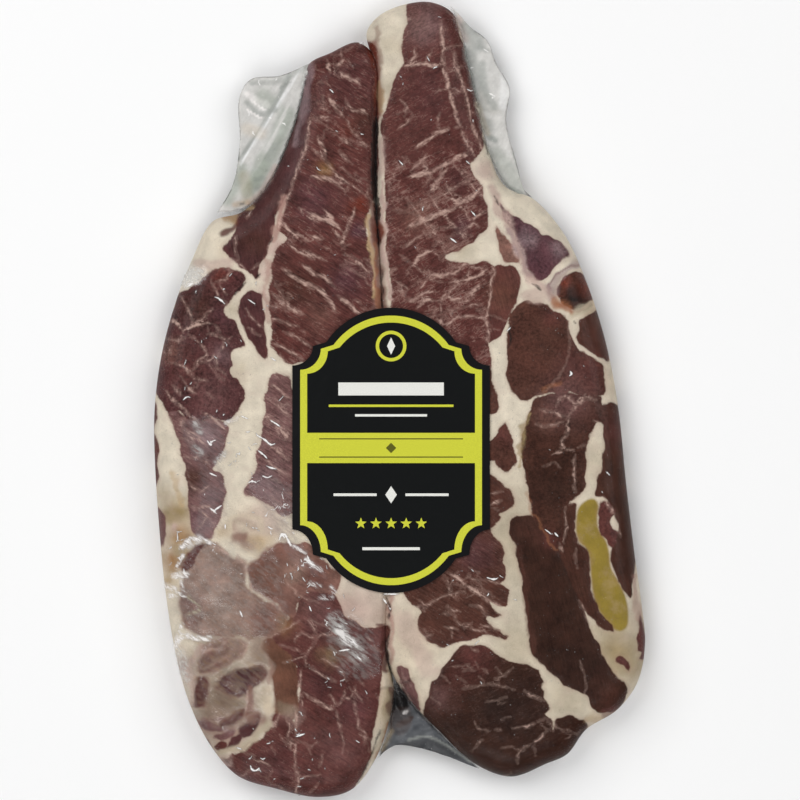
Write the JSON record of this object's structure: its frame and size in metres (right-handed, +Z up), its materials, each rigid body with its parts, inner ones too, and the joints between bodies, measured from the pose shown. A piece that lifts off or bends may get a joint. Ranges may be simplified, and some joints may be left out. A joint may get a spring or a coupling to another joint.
{
  "type": "vacuum pack of two raw beef steaks",
  "caption": "Clear film shrunk tight on a pair of thick raw beef slices that lie side by side, with film webs at the corners and a plain dark label across the middle.",
  "frame": {"origin": "under the middle of the pack's box, on the surface that the pack lies on", "axes": "+Z up out of the shown face, +Y along the steaks towards their narrow ends, +X to the right of the shown face"},
  "size_m": [0.207, 0.3346, 0.0236],
  "materials": {
    "clear_film": "clear gloss film, tight on the meat",
    "raw_beef": "moist raw beef with cream fat",
    "label_print": "satin print, near black with a yellow-green frame"
  },
  "bodies": {
    "root": {"vacuum_pouch": "clear_film", "label": "label_print"}
  },
  "joints": []
}
